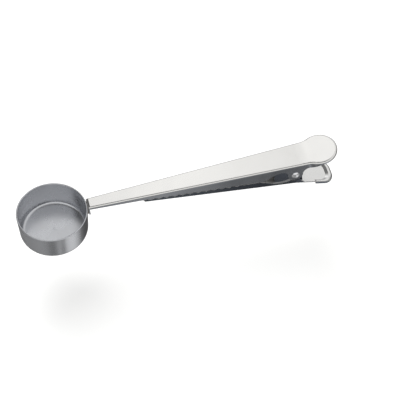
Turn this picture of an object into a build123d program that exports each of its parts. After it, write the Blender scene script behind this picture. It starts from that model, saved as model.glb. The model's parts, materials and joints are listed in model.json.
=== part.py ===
from build123d import *
from math import asin, atan, cos, degrees, hypot, radians, sin, sqrt, tan
import os

# Coffee scoop with a spring bag clip in its handle, in millimetres.
# World frame: +Z up, +X from the bowl along the handle, origin at the centre of the bowl's base.
# The handle, the clip arm and their hinge are drawn in the handle's own frame (x along the
# handle from the bowl's axis, z = 0 on its top face), which is then tilted up from the bowl.

# Sheet metal
SHEET = 0.8                 # thickness of both stampings and of the bowl
FOLD = 1.2                  # outside radius of the folds
FOLD_IN = FOLD - SHEET      # inside radius of the folds

# Bowl
RIM_R = 19.5                # outer radius at the rim
BASE_R = 18.8               # outer radius where the wall would meet the base
BOWL_H = 17.0               # height of the rim over the base
BOWL_CORNER = 3.0           # outside radius between wall and base

# Handle, seen from above
ROOT_X = 19.6               # outer face of the tab that is welded to the bowl's wall
TAPER_START = 2.88          # half-width that the taper would have at the bowl's axis
TAPER = 0.0369              # growth of the half-width per millimetre
PADDLE_X = 151.5            # centre of the round paddle
PADDLE_R = 10.2
PADDLE_BLEND = 12.0         # radius between the straight sides and the paddle
HANDLE_TOP = 17.2           # height that the top face would have over the bowl's axis

# Handle, seen from the side (depths below the top face)
TAB_DEPTH = 6.0             # tab turned down against the bowl's wall
ROOT_DEPTH = 1.6            # flange depth where the handle leaves the bowl
PART_X = 50.0               # start of the line where the flange meets the arm's wall
PART_DEPTH = 2.8
PART_SLOPE = 0.081          # growth of the flange's depth along that line
WINDOW_X = 117.0            # front tip of the side window
ARCH_TOP = 3.75             # flange depth left over the window
NECK_DEPTH = 3.6            # flange depth behind the ears
PADDLE_DEPTH = 1.6          # flange depth round the paddle
RISE_X = 139.0              # where the top face starts to rise towards the paddle
RISE_END_X = 147.0
RISE_ANGLE = 4.2            # degrees, paddle to handle
WELD_WIDTH = 4.6            # weld between the tab and the bowl

# Teeth along the parting line
TOOTH_PITCH = 4.4
TOOTH_HEIGHT = 1.1
TOOTH_X = 52.0              # first tooth
TOOTH_COUNT = 12
JAW_GAP = 0.35              # between the two rows of teeth when closed

# Hinge
PIVOT_X = 135.8
PIVOT_DEPTH = 8.0
EAR_R = 4.25                # round end of the handle's ears
RIVET_R = 1.5
RIVET_HEAD_R = 2.25
RIVET_HEAD_H = 1.2
HINGE_CLEARANCE = 0.08      # radial, arm's ears on the rivet
SLEEVE_R = 2.2
SLEEVE_END_GAP = 0.15

# Clip arm
ARM_X = 50.0                # tip of the jaw
JAW_DEPTH = 5.2             # depth of the jaw's underside at its tip
JAW_SLOPE = 0.128
JAW_CORNER = 1.5            # corner radius of the jaw's tip
BEND_X = 136.4              # where the lever bends down from the jaw
LEVER_ANGLE = 18.0          # degrees below the handle's top face
LEVER_HALF = 7.9            # half-width of the lever
LEVER_TIP_X = 159.2
WALL_END_X = 141.5          # where the arm's walls have run down to those edges
LEVER_CORNER = 6.2          # corner radius of the lever's end
LEVER_WALL = 0.6            # height of its turned-up edges over the floor
NOTCH_X = 147.3             # relief between the side walls and the turned-down rim
NOTCH = 0.6
LIP_DEPTH = 2.3             # turned-down rim of the lever's end
LIP_FOLD = 1.9              # its outside radius
DISH_DEPTH = 0.9            # height of the rim over the floor of the lever's end
DISH_FLARE = 60             # degrees from upright, inner side of the rim
DISH_HALF = 6.2             # half-width of that floor
DISH_CORNER = 5.0
DISH_END = 4.4              # from the end of the floor to the end of the lever
DISH_OVERLAP = 2.0          # run of that floor into the channel's floor
PANEL_HALF = 6.35           # half-width over the arm's ears
PANEL_X = 124.0             # front edge of the ears
PANEL_TOP = 2.7
PANEL_R = 4.1               # round end of the arm's ears
PANEL_CORNER = 1.2          # their upper front corner
LEDGE_LOW_X = 127.8         # lowest point of the ledge under the window
LEDGE_LOW = 12.95
LEDGE_R = EAR_R + 0.5       # ledge under the handle's ears, round the pivot
LEDGE_TURN = 35             # degrees each side of the pivot's plumb line that it runs round
LEDGE_LEAD = 1.5            # start of its curve, in front of the window

# Torsion spring
WIRE_R = 0.5
COIL_R = 3.25               # mean radius
COIL_TURNS = 5              # full turns, besides the part turn between the legs
COIL_PITCH = 1.15
UPPER_LEG_X = 147.0         # where the legs end
LOWER_LEG_X = 146.5
LEG_CLEARANCE = 0.05        # between a leg and the sheet that it presses on

WIDE = 60.0                 # longer than any cut needs to be
ALONG_AXIS = 0.999          # a direction's share along an axis from which it counts as parallel to it


def half_width(x):
    return TAPER_START + TAPER * x


def parting_depth(x):
    return PART_DEPTH + PART_SLOPE * (x - PART_X)


def jaw_depth(x):
    return JAW_DEPTH + JAW_SLOPE * (x - ARM_X)


def side_solid(outline):
    """A solid as wide as the whole object from an outline in the handle's x-z plane."""
    return extrude(Plane.XZ * outline, amount=WIDE / 2, both=True)


def closed_face(*curves):
    """A face from curves joined end to end and closed by a straight line."""
    outline = Curve() + list(curves)
    ends = Line(outline.wires()[0] @ 1, outline.wires()[0] @ 0)
    return make_face(outline + ends)


def tooth_line(drop):
    """The zigzag of the teeth along the parting line, lowered by a gap."""
    points = [(TOOTH_X - TOOTH_PITCH / 2, -parting_depth(TOOTH_X - TOOTH_PITCH / 2) - drop)]
    for i in range(2 * TOOTH_COUNT + 1):
        x = TOOTH_X + i * TOOTH_PITCH / 2
        side = -1 if i % 2 else 1
        points.append((x, -parting_depth(x) - drop + side * TOOTH_HEIGHT / 2))
    x = points[-1][0] + TOOTH_PITCH / 2
    points.append((x, -parting_depth(x) - drop))
    return points


# ---------------------------------------------------------------- bowl

def bowl_shape(inset):
    """The bowl's solid of revolution, inset by a wall thickness."""
    draft = (RIM_R - BASE_R) / BOWL_H
    wall = inset / cos(atan(draft))
    corner = BOWL_CORNER - inset
    profile = Polyline(
        (0, inset),
        (BASE_R - wall + draft * inset, inset),
        (RIM_R - wall, BOWL_H),
        (0, BOWL_H),
        close=True,
    )
    face = make_face(Plane.XZ * profile)
    low = face.vertices().sort_by(Axis.Z)[:2].sort_by(Axis.X)[-1]
    return revolve(fillet(low, corner), Axis.Z)


def make_bowl():
    bowl = bowl_shape(0) - bowl_shape(SHEET)
    rim = bowl.edges().group_by(Axis.Z)[-1]
    return fillet(rim, SHEET * 0.4)


# ---------------------------------------------------------------- handle

def handle_plan(inset):
    """Outline of the handle from above, inset from its outer edge."""
    start = half_width(ROOT_X)
    end = half_width(PADDLE_X)
    sides = make_face(Polyline(
        (ROOT_X, -start), (PADDLE_X, -end), (PADDLE_X, end), (ROOT_X, start), close=True))
    outline = sides + Pos(PADDLE_X, 0) * Circle(PADDLE_R)
    necks = outline.vertices().filter_by(lambda v: ROOT_X + 1 < v.X < PADDLE_X - 1)
    outline = fillet(necks, PADDLE_BLEND)
    return offset(outline, -inset) if inset else outline


def rise(x):
    """Height of the paddle's top face over the handle's at a place behind the bend."""
    middle = (RISE_X + RISE_END_X) / 2
    return (x - middle) * tan(radians(RISE_ANGLE))


def top_side(inset):
    """Outline under the handle's top face from the side: flat, then rising to the paddle."""
    bend = ThreePointArc(
        (RISE_X, 0),
        ((RISE_X + RISE_END_X) / 2, rise(RISE_END_X) / 4),
        (RISE_END_X, rise(RISE_END_X)),
    )
    far = PADDLE_X + PADDLE_R + 2
    outline = closed_face(
        Polyline((ROOT_X - 2, 0), (RISE_X, 0)),
        bend,
        Polyline((RISE_END_X, rise(RISE_END_X)), (far, rise(far)), (far, -WIDE), (ROOT_X - 2, -WIDE)),
    )
    return Pos(0, -inset) * outline


def handle_block(inset):
    """Solid under the handle's top face, its upper edges rounded like the fold."""
    block = extrude(handle_plan(inset), amount=WIDE / 3, both=True) & side_solid(top_side(inset))
    rim = block.edges().filter_by(lambda e: is_top_rim(e, inset))
    return fillet(rim, FOLD - inset)


def runs_across(edge):
    """True for an edge that lies square across the handle."""
    return abs(edge.tangent_at(0.5).Y) > ALONG_AXIS


def is_top_rim(edge, inset):
    """True for the edges round the top face, without the lines across it where it starts to rise."""
    middle = edge @ 0.5
    at_top = middle.Z > -inset - SHEET / 2 and abs(edge.tangent_at(0.5).Z) < 0.5
    return at_top and not (runs_across(edge) and ROOT_X + 2 < middle.X < PADDLE_X)


def handle_side():
    """Outline of the handle from the side: everything over the flange's lower edge."""
    front = Polyline(
        (ROOT_X - 2, -TAB_DEPTH),
        (ROOT_X + SHEET, -TAB_DEPTH),
        (ROOT_X + SHEET, -ROOT_DEPTH),
        *tooth_line(0),
        (WINDOW_X, -parting_depth(WINDOW_X)),
    )
    ear_front = (PIVOT_X - EAR_R, -PIVOT_DEPTH)
    arch = Spline(
        front @ 1,
        (WINDOW_X + 5.0, -ARCH_TOP - 2.0),
        (WINDOW_X + 10.2, -ARCH_TOP),
        (PIVOT_X - EAR_R - 0.9, -ARCH_TOP - 1.1),
        ear_front,
        tangents=[(1, 0.4), (0, -1)],
    )
    ear = ThreePointArc(
        ear_front, (PIVOT_X, -PIVOT_DEPTH - EAR_R), (PIVOT_X + EAR_R, -PIVOT_DEPTH))
    back = PIVOT_DEPTH - NECK_DEPTH
    turn = (1 - sqrt(0.5)) * back
    fillet_arc = ThreePointArc(
        ear @ 1,
        (PIVOT_X + EAR_R + turn, -PIVOT_DEPTH + back - turn),
        (PIVOT_X + EAR_R + back, -PIVOT_DEPTH + back),
    )
    slope = tan(radians(RISE_ANGLE))
    neck = Spline(
        fillet_arc @ 1,
        (PADDLE_X, rise(PADDLE_X) - PADDLE_DEPTH),
        tangents=[(1, 0), (1, slope)],
    )
    far = PADDLE_X + PADDLE_R + 3
    over = rise(far) + 2
    end = Polyline(neck @ 1, (far, rise(far) - PADDLE_DEPTH), (far, over), (ROOT_X - 2, over))
    return closed_face(front, arch, ear, fillet_arc, neck, end)


def pivot_bore(radius):
    return Pos(PIVOT_X, 0, -PIVOT_DEPTH) * Rot(90, 0, 0) * Cylinder(radius, WIDE)


def make_handle():
    handle = (handle_block(0) - handle_block(SHEET)) & side_solid(handle_side())
    return handle - pivot_bore(RIVET_R)


# ---------------------------------------------------------------- clip arm

def arm_plan(inset):
    """Outline of the clip arm from above: the handle's taper, then the lever."""
    tip = half_width(ARM_X)
    bend = LEVER_HALF
    outline = make_face(Polyline(
        (ARM_X, -tip), (BEND_X, -bend), (LEVER_TIP_X, -bend),
        (LEVER_TIP_X, bend), (BEND_X, bend), (ARM_X, tip), close=True))
    ends = outline.vertices().group_by(Axis.X)[-1]
    outline = fillet(ends, LEVER_CORNER)
    tips = outline.vertices().group_by(Axis.X)[0]
    outline = fillet(tips, JAW_CORNER)
    return offset(outline, -inset) if inset else outline


def underside(rise):
    """Outline over the arm's underside, raised by a distance square to the sheet."""
    slope = atan(JAW_SLOPE)
    lever = radians(LEVER_ANGLE)
    start = Vector(ARM_X - 2, -jaw_depth(ARM_X - 2)) + Vector(-sin(-slope), cos(slope)) * rise
    middle = (slope + lever) / 2
    miter = rise / cos((lever - slope) / 2)
    bend = Vector(BEND_X, -jaw_depth(BEND_X)) + Vector(sin(middle), cos(middle)) * miter
    reach = LEVER_TIP_X + 3 - BEND_X
    end = bend + Vector(reach, -reach * tan(lever))
    return make_face(Polyline(
        (start.X, start.Y), (bend.X, bend.Y), (end.X, end.Y), (end.X, 5), (start.X, 5), close=True))


def arm_block(inset):
    """Solid over the arm's underside, its lower edges rounded like the fold."""
    block = extrude(arm_plan(inset), amount=-WIDE, both=True) & side_solid(underside(inset))
    low = block.edges().filter_by(lambda e: is_low_edge(e, inset))
    return fillet(low, FOLD - inset)


def is_low_edge(edge, inset):
    """True for the edges between the underside and the walls."""
    middle = edge @ 0.5
    across = runs_across(edge) and abs(middle.X - BEND_X) < 1
    upright = abs(edge.tangent_at(0.5).Z) > 0.9
    return middle.Z < -jaw_depth(ARM_X) + 2.5 and not across and not upright


def lever_point(along, above):
    """A point of the lever: along its underside from the bend, and square above it."""
    a = radians(LEVER_ANGLE)
    x = BEND_X + along * cos(a) + above * sin(a)
    z = -jaw_depth(BEND_X) - along * sin(a) + above * cos(a)
    return (x, z)


def ledge_curves():
    """Upper edge of the arm's outer wall, from the parting line to under the handle's ears."""
    low = PIVOT_DEPTH + LEDGE_R
    angle = radians(LEDGE_TURN)
    meet = (PIVOT_X - LEDGE_R * sin(angle), -PIVOT_DEPTH - LEDGE_R * cos(angle))
    rear = (PIVOT_X + LEDGE_R * sin(angle), -PIVOT_DEPTH - LEDGE_R * cos(angle))
    front = WINDOW_X - LEDGE_LEAD
    first = (front, -parting_depth(front) - JAW_GAP)
    smile = Spline(
        first,
        (WINDOW_X + 5.2, -LEDGE_LOW + 1.5),
        (LEDGE_LOW_X, -LEDGE_LOW),
        meet,
        tangents=[(1, -0.35), (cos(angle), sin(angle) * 0.9)],
    )
    under = ThreePointArc(meet, (PIVOT_X, -low), rear)
    return smile, under


def wall_side():
    """Outline of the arm's outer wall from the side, below its upper edge."""
    smile, under = ledge_curves()
    jaw = Polyline(
        (ARM_X - 2, -WIDE / 2),
        (ARM_X - 2, -parting_depth(ARM_X - 2) - JAW_GAP),
        *tooth_line(JAW_GAP),
        smile @ 0,
    )
    wall_top = SHEET + LEVER_WALL
    corner = lever_point(along_lever(WALL_END_X), wall_top)
    run_down = Spline(
        under @ 1,
        corner,
        tangents=[(0.2, -1), (1, -tan(radians(LEVER_ANGLE)))],
    )
    lever = Polyline(
        corner,
        lever_point(along_lever(LEVER_TIP_X) + 8, wall_top),
        (LEVER_TIP_X + 8, -WIDE / 2),
    )
    return closed_face(jaw, smile, under, run_down, lever)


def ledge_band():
    """Outline of the step in the arm's wall, one sheet thick, under the ledge's curve."""
    smile, under = ledge_curves()
    top = closed_face(smile, under, Polyline(under @ 1, lever_point(0, -1), (PANEL_X, -WIDE / 2)))
    behind = Pos(PANEL_X + WIDE / 2, 0) * Rectangle(WIDE, 2 * WIDE)
    return (top - Pos(0, -SHEET) * top) & behind


def panel_side():
    """Outline of the arm's inner ears from the side."""
    rear = along_lever(PIVOT_X + PANEL_R)
    plate = make_face(Polyline(
        (PANEL_X, -WIDE / 2),
        (PANEL_X, -PANEL_TOP),
        (PIVOT_X, -PIVOT_DEPTH + PANEL_R),
        (PIVOT_X + PANEL_R, -PIVOT_DEPTH),
        lever_point(rear, SHEET + LEVER_WALL),
        lever_point(rear, -WIDE),
        close=True,
    ))
    front = plate.vertices().group_by(Axis.X)[0].sort_by(Axis.Y)[-1]
    return fillet(front, PANEL_CORNER) + Pos(PIVOT_X, -PIVOT_DEPTH) * Circle(PANEL_R)


def along_lever(x):
    """Distance along the lever, from the bend, of a place along the handle."""
    return (x - BEND_X) / cos(radians(LEVER_ANGLE))


def dish_outline(margin):
    """Outline of the floor of the lever's end, in the lever's own plane (x along the lever)."""
    start = along_lever(NOTCH_X) - DISH_OVERLAP
    end = along_lever(LEVER_TIP_X) - DISH_END + margin
    half = DISH_HALF + margin
    plan = make_face(Polyline(
        (start, -half), (end, -half), (end, half), (start, half), close=True))
    return fillet(plan.vertices().group_by(Axis.X)[-1], DISH_CORNER + margin)


def lever_place():
    """Location of the lever's own plane: origin at the bend, on the floor's upper face."""
    x, z = lever_point(0, SHEET)
    return Pos(x, 0, z) * Rot(0, LEVER_ANGLE, 0)


def lever_tray(inset):
    """Solid under the turned-down rim, its upper edges rounded, inset by a wall thickness."""
    start = along_lever(NOTCH_X) + NOTCH - inset
    end = along_lever(LEVER_TIP_X) - inset
    half = LEVER_HALF - inset
    plan = make_face(Polyline(
        (start, -half), (end, -half), (end, half), (start, half), close=True))
    plan = fillet(plan.vertices().group_by(Axis.X)[-1], LEVER_CORNER - inset)
    block = extrude(Pos(0, 0, -inset) * plan, amount=-LIP_DEPTH - SHEET)
    rim = block.edges().group_by(Axis.Z)[-1].sort_by(Axis.X)[1:]
    return fillet(rim, LIP_FOLD - inset)


def make_lever_end():
    """The lever's end: a floor inside a turned-down rim that stands a step over it."""
    rim = lever_tray(0) - lever_tray(SHEET)
    rim = Pos(0, 0, DISH_DEPTH) * (rim - Pos(0, 0, -LIP_DEPTH - WIDE / 2) * Box(4 * WIDE, WIDE, WIDE))
    dish = extrude(dish_outline(0), amount=2 * DISH_DEPTH, taper=-DISH_FLARE)
    skin = extrude(dish_outline(SHEET), amount=2 * DISH_DEPTH + SHEET, taper=-DISH_FLARE)
    flare = (Pos(0, 0, -SHEET) * skin - dish) & (Pos(0, 0, DISH_DEPTH) * lever_tray(0))
    floor = extrude(dish_outline(0), amount=-SHEET)
    return lever_place() * ((rim - dish) + flare + floor)


def make_arm():
    shell = arm_block(0) - arm_block(SHEET)
    walls = shell & side_solid(wall_side())
    front_of_notch = make_face(Polyline(
        (ARM_X - 5, 10), (ARM_X - 5, -WIDE / 2),
        lever_point(along_lever(NOTCH_X), -8), lever_point(along_lever(NOTCH_X), 30), close=True))
    arm = (walls & side_solid(front_of_notch)) + make_lever_end()
    panel = Pos(0, PANEL_HALF, 0) * extrude(Plane.XZ * panel_side(), amount=SHEET)
    ledge = Pos(0, WIDE / 2 + PANEL_HALF - SHEET, 0) * extrude(Plane.XZ * ledge_band(), amount=WIDE / 2)
    ear = (panel + ledge) & arm_block(0)
    arm = arm + ear + mirror(ear, Plane.XZ)
    return arm - pivot_bore(RIVET_R + HINGE_CLEARANCE)


# ---------------------------------------------------------------- hinge parts

def make_rivet(handle):
    """Shank through both ears with a domed head at each end, seated on the ears."""
    seat = half_width(PIVOT_X - RIVET_HEAD_R)
    shank = Rot(90, 0, 0) * Cylinder(RIVET_R, 2 * seat)
    dome = (RIVET_HEAD_R ** 2 + RIVET_HEAD_H ** 2) / (2 * RIVET_HEAD_H)
    rivet = shank
    for side in (-1, 1):
        ball = Pos(0, side * (seat + 0.2 + RIVET_HEAD_H - dome), 0) * Sphere(dome)
        cap = Pos(0, side * (seat + 2), 0) * Rot(90, 0, 0) * Cylinder(RIVET_HEAD_R, 4)
        rivet = rivet + (ball & cap)
    return Pos(PIVOT_X, 0, -PIVOT_DEPTH) * rivet - handle


def make_sleeve():
    length = 2 * (PANEL_HALF - SHEET - SLEEVE_END_GAP)
    tube = Cylinder(SLEEVE_R, length) - Cylinder(RIVET_R, length)
    return Pos(PIVOT_X, 0, -PIVOT_DEPTH) * Rot(90, 0, 0) * tube


def leg_angle(target, side):
    """Angle round the pivot at which a leg to the target leaves the coil; side 1 is over it, -1 under it."""
    dx = target[0] - PIVOT_X
    dz = target[1] + PIVOT_DEPTH
    turn = degrees(asin(COIL_R / hypot(dx, dz)))
    return degrees(atan(dz / dx)) + side * (90 - turn)


def make_spring():
    """Coil round the sleeve, one leg under the paddle and one on the lever's floor."""
    upper_end = (UPPER_LEG_X, rise(UPPER_LEG_X) - SHEET - WIRE_R - LEG_CLEARANCE)
    lower_end = lever_point(along_lever(LOWER_LEG_X), SHEET + WIRE_R + LEG_CLEARANCE)
    start_angle = leg_angle(upper_end, 1)
    end_angle = leg_angle(lower_end, -1)
    turns = COIL_TURNS + ((end_angle - start_angle) % 360) / 360
    length = turns * COIL_PITCH
    coil = Helix(COIL_PITCH, length, COIL_R, lefthand=True)
    coil = Pos(PIVOT_X, -length / 2, -PIVOT_DEPTH) * Rot(0, -start_angle, 0) * Rot(-90, 0, 0) * coil
    reach = upper_end[0] - (coil @ 0).X
    upper_leg = Line(coil @ 0 + coil % 0 * (reach / (coil % 0).X), coil @ 0)
    reach = lower_end[0] - (coil @ 1).X
    lower_leg = Line(coil @ 1, coil @ 1 + coil % 1 * (reach / (coil % 1).X))
    wire = Wire([upper_leg.edge(), coil.edge(), lower_leg.edge()])
    return sweep(Plane(wire @ 0, z_dir=wire % 0) * Circle(WIRE_R), path=wire)


# ---------------------------------------------------------------- assembly

def lowest_depth():
    """Depth and place of the lever's lowest corner below the handle's top face."""
    return lever_point(along_lever(LEVER_TIP_X), SHEET + DISH_DEPTH - LIP_DEPTH)


def handle_place():
    """The handle's frame, tilted so that bowl and lever stand on one plane."""
    x, z = lowest_depth()
    reach = hypot(x, z)
    tilt = degrees(asin(-HANDLE_TOP / reach) - atan(z / x))
    return Pos(0, 0, HANDLE_TOP) * Rot(0, -tilt, 0)


def make_weld(place, handle, bowl_body):
    """Weld between the handle's tab and the bowl's wall, with a bead under the tab."""
    depth = TAB_DEPTH + SHEET
    height = depth - FOLD
    room = Pos(ROOT_X, 0, -depth + height / 2) * Box(4 * SHEET, WELD_WIDTH, height)
    ring = Cylinder(RIM_R + SHEET, 2 * BOWL_H)
    bead = (place * room) & ring
    bead = bead - bowl_body - handle
    return bead.solids().sort_by(SortBy.VOLUME)[-1]


def main():
    os.makedirs("parts", exist_ok=True)
    place = handle_place()
    bowl_body = bowl_shape(0)
    flat_handle = make_handle()
    handle = place * flat_handle - bowl_body
    parts = {
        "scoop_bowl": make_bowl(),
        "handle": handle,
        "weld_bead": make_weld(place, handle, bowl_body),
        "clip_arm": place * make_arm(),
        "pivot_rivet": place * make_rivet(flat_handle),
        "spring_sleeve": place * make_sleeve(),
        "torsion_spring": place * make_spring(),
    }
    for name, part in parts.items():
        export_step(part, os.path.join("parts", name + ".step"))


main()
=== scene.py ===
import bpy
import bmesh
import json
from math import cos, pi, radians, sin
from mathutils import Matrix, Vector


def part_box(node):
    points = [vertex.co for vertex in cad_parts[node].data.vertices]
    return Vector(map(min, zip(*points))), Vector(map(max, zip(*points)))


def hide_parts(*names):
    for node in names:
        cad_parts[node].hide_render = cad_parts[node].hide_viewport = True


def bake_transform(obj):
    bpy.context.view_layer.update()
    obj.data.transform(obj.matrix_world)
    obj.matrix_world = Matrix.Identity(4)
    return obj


# Coffee scoop with a spring bag clip in its handle. Lengths are in metres, apart from those whose name
# holds "mm".

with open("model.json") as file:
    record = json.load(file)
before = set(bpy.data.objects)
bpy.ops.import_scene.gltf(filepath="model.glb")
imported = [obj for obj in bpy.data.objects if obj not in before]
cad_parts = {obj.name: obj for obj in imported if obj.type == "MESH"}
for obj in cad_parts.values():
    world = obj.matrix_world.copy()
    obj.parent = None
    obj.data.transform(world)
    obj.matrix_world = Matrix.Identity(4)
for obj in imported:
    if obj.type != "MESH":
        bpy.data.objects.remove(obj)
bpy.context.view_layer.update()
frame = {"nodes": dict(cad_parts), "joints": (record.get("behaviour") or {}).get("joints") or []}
joint = frame["joints"][0]
pivot = Vector(joint["pos_m"])
MM = 0.001


# ---------------------------------------------------------------- material helpers

# A Mix node has a set of sockets for each kind of value. Their names repeat, so they go by number.
MIX_SHARE = 0
COLOUR_A = 6
COLOUR_B = 7
COLOUR_OUT = 2
NUMBER_A = 2
NUMBER_B = 3
NUMBER_OUT = 0


def linear(hex_colour):
    """Linear RGBA from an sRGB hex value."""
    channels = [int(hex_colour[i:i + 2], 16) / 255 for i in (1, 3, 5)]
    return [c / 12.92 if c <= 0.04045 else ((c + 0.055) / 1.055) ** 2.4 for c in channels] + [1.0]


def add(tree, kind, settings=None, links=None):
    """Adds a node. Settings are properties or input values, links are inputs fed by other nodes' outputs."""
    node = tree.nodes.new(kind)
    for key, value in (settings or {}).items():
        if isinstance(key, int) or key in node.inputs:
            node.inputs[key].default_value = value
        else:
            setattr(node, key, value)
    for key, (source, output) in (links or {}).items():
        tree.links.new(source.outputs[output], node.inputs[key])
    return node


def new_material(name):
    """A material of this name, and its node tree, empty."""
    material = bpy.data.materials.new(name)
    material.use_nodes = True
    tree = material.node_tree
    tree.nodes.clear()
    return material, tree


# ---------------------------------------------------------------- steel

PATCH_MM = 9                # cloudy patches, in which the steel is a little lighter and duller
NOISE_LOW = 0.3             # most of a noise lies between these two values
NOISE_HIGH = 0.7
PRESSED_ROUGHNESS = 0.7     # steel as it came from the press
FACING = 0.3                # a face looks up, or down, once that part of its normal is past this
WALL_BEGINS = 0.75          # a bend begins to count as a side wall at this sideways part of its normal
WALL_FULL = 0.97            # and is all side wall at this one
LINE_STRETCH = 0.02         # how fast a pattern changes along its lines, against 1 across them
STREAK_STRETCH = 0.05       # the same for the upright lines on the bowl's wall

STRETCHES = {
    "along": (LINE_STRETCH, 1, 1),               # lines along the handle
    "rings": (LINE_STRETCH, 1, LINE_STRETCH),    # rings round the hinge's axis
    "none": (1, 1, 1),                           # an even mottle
}


def upright_lines(tree, place):
    """Coordinates for lines up and down the bowl's wall: the way round it, and a slowed height."""
    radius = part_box("scoop_bowl")[1].x
    split = add(tree, "ShaderNodeSeparateXYZ", links={0: (place, "Object")})
    angle = add(tree, "ShaderNodeMath", {"operation": "ARCTAN2"}, {0: (split, "Y"), 1: (split, "X")})
    arc = add(tree, "ShaderNodeMath", {"operation": "MULTIPLY", 1: radius}, {0: (angle, 0)})
    height = add(tree, "ShaderNodeMath", {"operation": "MULTIPLY", 1: STREAK_STRETCH}, {0: (split, "Z")})
    return add(tree, "ShaderNodeCombineXYZ", links={"X": (arc, 0), "Z": (height, 0)})


def inside_mask(tree, place, hidden_side):
    """1 on the inside of the channel that the handle and the clip arm make in front of the hinge."""
    where = add(tree, "ShaderNodeSeparateXYZ", links={0: (place, "Object")})
    normal = add(tree, "ShaderNodeSeparateXYZ", links={0: (place, "Normal")})
    facing = add(tree, "ShaderNodeMath", {"operation": "MULTIPLY", 1: hidden_side}, {0: (normal, "Z")})
    facing = add(tree, "ShaderNodeMath", {"operation": "GREATER_THAN", 1: FACING}, {0: (facing, 0)})
    inward = add(tree, "ShaderNodeMath", {"operation": "MULTIPLY"}, {0: (where, "Y"), 1: (normal, "Y")})
    inward = add(tree, "ShaderNodeMath", {"operation": "LESS_THAN", 1: 0.0}, {0: (inward, 0)})
    hidden = add(tree, "ShaderNodeMath", {"operation": "MAXIMUM"}, {0: (facing, 0), 1: (inward, 0)})
    front = add(tree, "ShaderNodeMath", {"operation": "LESS_THAN", 1: pivot.x}, {0: (where, "X")})
    return add(tree, "ShaderNodeMath", {"operation": "MULTIPLY"}, {0: (hidden, 0), 1: (front, 0)})


def painted_reflection_walls(tree, place):
    """1 on the upright walls along both sides of the handle and the clip arm, where a painted dark reflection
    goes.
    """
    normal = add(tree, "ShaderNodeSeparateXYZ", links={0: (place, "Normal")})
    sideways = add(tree, "ShaderNodeMath", {"operation": "ABSOLUTE"}, {0: (normal, "Y")})
    return add(tree, "ShaderNodeMapRange", {"From Min": WALL_BEGINS, "From Max": WALL_FULL},
               {"Value": (sideways, 0)})


def steel(name, tone, shade, roughness, grain_mm, grain_depth_mm, wave_mm, wave_depth_mm, lines="none",
          painted_reflection_tone=None, hidden_side=0):
    """Steel whose tone and shade are its lightest and darkest patches, and whose roughness goes from its
    glossiest to its dullest. The grain is the fine lines or mottle that its making leaves, and the waves are
    the slight unevenness that bends reflections. A painted reflection tone darkens the colour of the side
    walls: a painted reflection of the dark things round the scoop that they would mirror. A hidden side, 1
    for faces that look up and -1 for those that look down, is left rough with the channel's inner walls, as
    they came from the press."""
    material, tree = new_material(name)
    place = add(tree, "ShaderNodeTexCoord")
    if lines == "upright":
        grain_place = (upright_lines(tree, place), 0)
        wave_place = grain_place
    else:
        stretched = add(tree, "ShaderNodeMapping", {"Scale": STRETCHES[lines]}, {"Vector": (place, "Object")})
        grain_place = (stretched, "Vector")
        wave_place = (place, "Object")
    grain = add(tree, "ShaderNodeTexNoise", {"Scale": 1 / (grain_mm * MM), "Detail": 3.0},
                {"Vector": grain_place})
    waves = add(tree, "ShaderNodeTexNoise", {"Scale": 1 / (wave_mm * MM), "Detail": 1.0},
                {"Vector": wave_place})
    patches = add(tree, "ShaderNodeTexNoise", {"Scale": 1 / (PATCH_MM * MM), "Detail": 4.0},
                  {"Vector": (place, "Object")})

    colour = add(tree, "ShaderNodeMix",
                 {"data_type": "RGBA", COLOUR_A: linear(shade), COLOUR_B: linear(tone)},
                 {MIX_SHARE: (patches, "Fac")})
    # Painted reflection: the side walls' colour is darkened towards this tone, for the dark things round the
    # scoop that they would mirror
    if painted_reflection_tone:
        colour = add(tree, "ShaderNodeMix", {"data_type": "RGBA", COLOUR_B: linear(painted_reflection_tone)},
                     {MIX_SHARE: (painted_reflection_walls(tree, place), 0), COLOUR_A: (colour, COLOUR_OUT)})

    glossiest, dullest = roughness
    gloss = add(tree, "ShaderNodeMapRange",
                {"From Min": NOISE_LOW, "From Max": NOISE_HIGH, "To Min": glossiest, "To Max": dullest},
                {"Value": (patches, "Fac")})
    if hidden_side:
        hidden = inside_mask(tree, place, hidden_side)
        gloss = add(tree, "ShaderNodeMix", {"data_type": "FLOAT", NUMBER_B: PRESSED_ROUGHNESS},
                    {MIX_SHARE: (hidden, 0), NUMBER_A: (gloss, NUMBER_OUT)})

    coarse = add(tree, "ShaderNodeBump", {"Distance": wave_depth_mm * MM, "Strength": 1.0},
                 {"Height": (waves, "Fac")})
    fine = add(tree, "ShaderNodeBump", {"Distance": grain_depth_mm * MM, "Strength": 1.0},
               {"Height": (grain, "Fac"), "Normal": (coarse, "Normal")})
    shader = add(tree, "ShaderNodeBsdfPrincipled", {"Metallic": 1.0},
                 {"Base Color": (colour, COLOUR_OUT), "Roughness": (gloss, NUMBER_OUT),
                  "Normal": (fine, "Normal")})
    add(tree, "ShaderNodeOutputMaterial", links={"Surface": (shader, 0)})
    return material


# The lines that polishing, drawing and turning leave in real steel are too fine to show, so the grain is
# drawn coarser than they are.

# Polished stainless sheet: near-white mirror with a soft edge, faint lines along the handle, and a painted
# dark reflection on its side walls
handle_steel = steel(
    "polished_stainless_handle", tone="#E9E8E6", shade="#DFDEDB", roughness=(0.13, 0.2), lines="along",
    grain_mm=0.25, grain_depth_mm=0.0006, wave_mm=30, wave_depth_mm=0.06,
    painted_reflection_tone="#A3A6AB", hidden_side=-1)

# The same sheet on the clip arm: bright where the thumb rests, its walls painted darker and bluer, a painted
# reflection of the dark things round it
arm_steel = steel(
    "polished_stainless_arm", tone="#E9E8E6", shade="#DCDCDB", roughness=(0.14, 0.22), lines="along",
    grain_mm=0.25, grain_depth_mm=0.0006, wave_mm=25, wave_depth_mm=0.03,
    painted_reflection_tone="#5A5F68", hidden_side=1)

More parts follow.
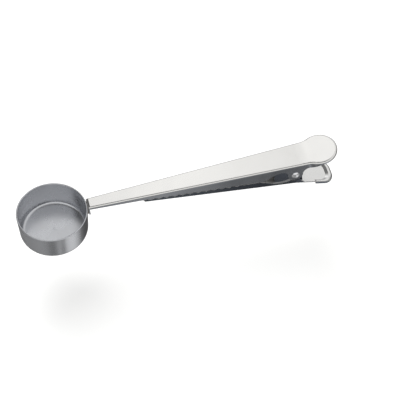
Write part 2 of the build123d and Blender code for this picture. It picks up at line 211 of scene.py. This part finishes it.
# Drawn and buffed bowl: satin grey with soft upright streaks that the drawing die leaves
bowl_steel = steel(
    "buffed_drawn_stainless_bowl", tone="#CFD0D3", shade="#BDBFC3", roughness=(0.24, 0.32), lines="upright",
    grain_mm=0.6, grain_depth_mm=0.001, wave_mm=4.5, wave_depth_mm=0.035)

# Cold-headed rivet: small polished dome with crisp reflections
rivet_steel = steel(
    "polished_rivet_head", tone="#EDEDED", shade="#D8D9DB", roughness=(0.08, 0.13),
    grain_mm=0.4, grain_depth_mm=0.0005, wave_mm=3, wave_depth_mm=0.006)

# Turned tube: fine rings round its axis, a little dull
sleeve_steel = steel(
    "turned_steel_tube", tone="#B9BABD", shade="#A2A4A8", roughness=(0.25, 0.35), lines="rings",
    grain_mm=0.3, grain_depth_mm=0.004, wave_mm=4, wave_depth_mm=0.002)

# Drawn spring wire: mid grey, semi-bright, with the faint mottling of hard-drawn wire
wire_steel = steel(
    "drawn_spring_wire", tone="#A9ABAF", shade="#8D9095", roughness=(0.22, 0.32),
    grain_mm=0.2, grain_depth_mm=0.001, wave_mm=2, wave_depth_mm=0.002)

# Cleaned weld: rough, straw and brown from the heat
weld_steel = steel(
    "cleaned_weld_metal", tone="#A79E90", shade="#7C7672", roughness=(0.35, 0.5),
    grain_mm=0.6, grain_depth_mm=0.02, wave_mm=1.5, wave_depth_mm=0.03)

node_materials = {
    "handle": handle_steel,
    "clip_arm": arm_steel,
    "scoop_bowl": bowl_steel,
    "pivot_rivet": rivet_steel,
    "spring_sleeve": sleeve_steel,
    "weld_bead": weld_steel,
}
for name, material in node_materials.items():
    frame["nodes"][name].material_slots[0].material = material


# ---------------------------------------------------------------- torsion spring

WIRE_R = 0.5 * MM
COIL_R = 3.25 * MM              # to the middle of the wire
COIL_PITCH = 1.15 * MM
COIL_TURNS = 5.3672
COIL_START = radians(110.048)   # where the upper leg meets the coil, from +x towards +z
WIRE_SIDES = 20
STEPS_PER_TURN = 40
SCREW_REPEATS = 6               # each adds a sixth of the winding
CUT_EDGE = 0.12 * WIRE_R        # length of the broken edge at a cut end of the wire
CUT_SCALE = 0.85                # of the section there
RING_REACH = 1.02 * WIRE_R      # a section's vertices lie this near its centre,
RING_DEPTH = 0.02 * WIRE_R      # and this near its plane
SMOOTH_ANGLE = radians(40)


def coil_point(angle, along):
    """Point on the coil's centre line, from the pivot."""
    return Vector((COIL_R * cos(angle), along, COIL_R * sin(angle)))


def coil_direction(angle):
    """Direction in which the wire runs on there."""
    return Vector((-COIL_R * sin(angle), COIL_PITCH / (2 * pi), COIL_R * cos(angle))).normalized()


def select_section(mesh, centre, direction):
    """Selects the ring of wire section round the centre, square to the direction."""
    bpy.ops.mesh.select_all(action="DESELECT")
    edit = bmesh.from_edit_mesh(mesh)
    for vertex in edit.verts:
        offset = vertex.co - centre
        if offset.length < RING_REACH and abs(offset.dot(direction)) < RING_DEPTH:
            vertex.select = True
    edit.select_flush(True)
    bmesh.update_edit_mesh(mesh)


def draw_leg(mesh, centre, direction, length):
    """Draws an end of the coil out into a straight leg of this length, and closes it with a broken edge."""
    select_section(mesh, centre, direction)
    straight = length - CUT_EDGE
    bpy.ops.mesh.extrude_region_move(TRANSFORM_OT_translate={"value": direction * straight})
    bpy.ops.mesh.extrude_region_move(TRANSFORM_OT_translate={"value": direction * CUT_EDGE})
    bpy.ops.transform.resize(value=(CUT_SCALE,) * 3, center_override=centre + direction * length)
    bpy.ops.mesh.edge_face_add()


def wind_coil(length, turned):
    """The coil, round the origin: a ring of wire section at its start, that a screw carries round Y."""
    start = coil_point(COIL_START, -length / 2)
    facing = coil_direction(COIL_START).to_track_quat("Z", "Y").to_euler()
    bpy.ops.object.select_all(action="DESELECT")
    bpy.ops.mesh.primitive_circle_add(vertices=WIRE_SIDES, radius=WIRE_R, location=start, rotation=facing)
    spring = bpy.context.object
    spring.name = "wound_spring"
    bpy.ops.object.transform_apply(location=True, rotation=True, scale=True)
    screw = spring.modifiers.new("winding", "SCREW")
    screw.axis = "Y"
    screw.iterations = SCREW_REPEATS
    screw.angle = -turned / SCREW_REPEATS
    screw.screw_offset = length / SCREW_REPEATS
    screw.steps = round(STEPS_PER_TURN * COIL_TURNS / SCREW_REPEATS)
    screw.render_steps = screw.steps
    screw.use_merge_vertices = True
    screw.merge_threshold = 0.01 * WIRE_R
    bpy.ops.object.modifier_apply(modifier=screw.name)
    return spring


def make_spring():
    """The spring on the sleeve, with its upper leg under the paddle and its lower one on the lever."""
    low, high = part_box("torsion_spring")
    half = COIL_TURNS * COIL_PITCH / 2
    turned = COIL_TURNS * 2 * pi
    spring = wind_coil(2 * half, turned)

    # A leg ends where its side touches the top or the bottom of the node's box
    first = coil_point(COIL_START, -half)
    last = coil_point(COIL_START + turned, half)
    upper_way = -coil_direction(COIL_START)
    lower_way = coil_direction(COIL_START + turned)
    upper_length = (high.z - pivot.z - first.z - WIRE_R * abs(upper_way.x)) / upper_way.z
    lower_length = (low.z - pivot.z - last.z + WIRE_R * abs(lower_way.x)) / lower_way.z
    bpy.ops.object.mode_set(mode="EDIT")
    draw_leg(spring.data, first, upper_way, upper_length)
    draw_leg(spring.data, last, lower_way, lower_length)
    bpy.ops.mesh.select_all(action="SELECT")
    bpy.ops.mesh.remove_doubles(threshold=0.005 * WIRE_R)
    bpy.ops.mesh.normals_make_consistent(inside=False)
    bpy.ops.object.mode_set(mode="OBJECT")

    spring.location = pivot
    bpy.ops.object.transform_apply(location=True, rotation=True, scale=True)
    bpy.ops.object.shade_smooth_by_angle(angle=SMOOTH_ANGLE)
    spring.data.materials.append(wire_steel)
    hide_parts("torsion_spring")
    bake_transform(spring)


make_spring()


# ---------------------------------------------------------------- floor

FLOOR_SIZE = 4.0
FLOOR_GAP = 1 * MM


def lowest_reach():
    """Height of the clip arm's lowest point when the jaws are fully open."""
    opened = Matrix.Rotation(radians(joint["range_deg"][1]), 3, Vector(joint["axis"]))
    arm = frame["nodes"]["clip_arm"]
    return min((pivot + opened @ (v.co - pivot)).z for v in arm.data.vertices)


def lay_floor():
    """A floor under the open jaw, as if the scoop were held over a table, so that the clip opens clear."""
    bpy.ops.mesh.primitive_plane_add(size=FLOOR_SIZE, location=(0, 0, lowest_reach() - FLOOR_GAP))
    floor = bpy.context.object
    floor.name = "floor"
    # Painted table top: matt and near-white
    material, tree = new_material("pale_table")
    shader = add(tree, "ShaderNodeBsdfPrincipled", {"Base Color": linear("#FAFAF9"), "Roughness": 0.9})
    add(tree, "ShaderNodeOutputMaterial", links={"Surface": (shader, 0)})
    floor.data.materials.append(material)
    # Polished steel mirrors all that is round it. The floor is kept out of its reflections, so that the
    # walls of the handle show the dim lower part of the surroundings and not a glaring white table.
    floor.visible_glossy = False


lay_floor()


# ---------------------------------------------------------------- surroundings

# Brightness by direction, as (place, brightness). Places on X go from -1 on the left to 1 on the right,
# and places on Z from 0 at the horizon to 1 overhead.
BOX_ON_X = [
    (-1.0, 0.1), (-0.15, 0.1), (-0.04, 1.0), (0.0, 1.08), (0.04, 1.14), (0.066, 1.24), (0.113, 1.05),
    (0.14, 0.965), (0.3, 0.9), (0.75, 0.9), (1.0, 0.5)]
WINDOW_ON_Z = [(0.0, 0.25), (0.1, 0.3), (0.35, 0.95), (0.85, 0.95), (0.93, 0.35), (1.0, 0.25)]
FRONT_TABLE_ON_X = [
    (-1.0, 0.5), (-0.58, 0.36), (-0.45, 0.43), (-0.3, 0.36), (-0.175, 0.22), (-0.06, 0.26),
    (0.05, 0.62), (0.08, 0.62), (0.13, 0.22), (0.18, 0.14), (0.26, 0.85), (0.42, 0.95),
    (0.52, 0.95), (0.62, 0.6), (1.0, 0.3)]
BACK_TABLE_ON_X = [(-1.0, 0.4), (-0.5, 0.33), (-0.2, 0.2), (0.0, 0.16), (0.5, 0.08), (1.0, 0.1)]
DIM_GAP = (0.25, 0.25, 0.26, 1.0)
DIM_HORIZON = (0.3, 0.3, 0.31, 1.0)

world = bpy.data.worlds.new("soft_studio")
bpy.context.scene.world = world
world.use_nodes = True
sky = world.node_tree
sky.nodes.clear()
sky_place = add(sky, "ShaderNodeTexCoord")
direction = add(sky, "ShaderNodeSeparateXYZ", links={0: (sky_place, "Generated")})


def spread(stops, axis):
    """Brightness along one axis of the direction, from -1 to 1."""
    along = add(sky, "ShaderNodeMapRange", {"From Min": -1.0, "From Max": 1.0}, {"Value": (direction, axis)})
    ramp = add(sky, "ShaderNodeValToRGB", links={0: (along, 0)})
    elements = ramp.color_ramp.elements
    while len(elements) < len(stops):
        elements.new(0.5)
    for element, (where, brightness) in zip(elements, stops):
        element.position = (where + 1) / 2
        element.color = (brightness, brightness, brightness, 1.0)
    return (ramp, 0)


def turn_over(before, after, axis, start, end):
    """Goes from one part of the surroundings to another as the direction's axis goes from start to end."""
    share = add(sky, "ShaderNodeMapRange", {"From Min": start, "From Max": end},
                {"Value": (direction, axis)})
    mix = add(sky, "ShaderNodeMix", {"data_type": "RGBA"},
              {MIX_SHARE: (share, 0), COLOUR_A: before, COLOUR_B: after})
    return (mix, COLOUR_OUT)


# Behind and above: one soft box from the middle to the right, brightest near the middle, with darkness to
# its left, between a dim horizon and a dim gap overhead
dim_gap = add(sky, "ShaderNodeRGB")
dim_gap.outputs[0].default_value = DIM_GAP
dim_horizon = add(sky, "ShaderNodeRGB")
dim_horizon.outputs[0].default_value = DIM_HORIZON
back = turn_over((dim_horizon, 0), spread(BOX_ON_X, "X"), "Z", start=0.05, end=0.35)
back = turn_over(back, (dim_gap, 0), "Z", start=0.94, end=0.98)
# In front and above: a window light, which dims towards the horizon and overhead
upper = turn_over(spread(WINDOW_ON_Z, "Z"), back, "Y", start=-0.12, end=0.12)
# Below: the table in front, with paler and darker places across it, and a dim one behind
lower = turn_over(spread(FRONT_TABLE_ON_X, "X"), spread(BACK_TABLE_ON_X, "X"), "Y", start=-0.22, end=0.12)
all_round = turn_over(lower, upper, "Z", start=-0.12, end=0.02)
background = add(sky, "ShaderNodeBackground", {"Strength": 1.0}, {"Color": all_round})
add(sky, "ShaderNodeOutputWorld", links={"Surface": (background, 0)})


# ---------------------------------------------------------------- key light

KEY_PLACE = Vector((-0.1, 0.35, 0.7))
KEY_AIM = Vector((0.07, 0, 0))
KEY_SIZE = 0.8
KEY_WATTS = 7.0


def hang_key_light():
    """A soft box behind the scoop, for the light on the floor."""
    bpy.ops.object.light_add(type="AREA", location=KEY_PLACE)
    key = bpy.context.object
    key.data.size = KEY_SIZE
    key.data.energy = KEY_WATTS
    key.visible_glossy = False
    key.rotation_euler = (KEY_AIM - key.location).to_track_quat("-Z", "Y").to_euler()


hang_key_light()


# ---------------------------------------------------------------- camera

AZIMUTH = radians(-14.39)
ELEVATION = radians(54.17)
DISTANCE = 0.75
AIM = Vector((0.08161, -0.00615, 0.008))
SENSOR_MM = 36.0
LENS_MM = 121.626


def place_camera():
    """The camera, in front of the scoop and above it, a little to the left."""
    camera = bpy.data.objects.new("camera", bpy.data.cameras.new("camera"))
    bpy.context.scene.collection.objects.link(camera)
    away = Vector((sin(AZIMUTH) * cos(ELEVATION), -cos(AZIMUTH) * cos(ELEVATION), sin(ELEVATION)))
    camera.location = AIM + away * DISTANCE
    camera.rotation_euler = (-away).to_track_quat("-Z", "Y").to_euler()
    camera.data.sensor_width = SENSOR_MM
    camera.data.lens = LENS_MM
    camera.data.clip_start = 0.01
    bpy.context.scene.camera = camera


place_camera()
bpy.context.scene.view_settings.view_transform = "Standard"
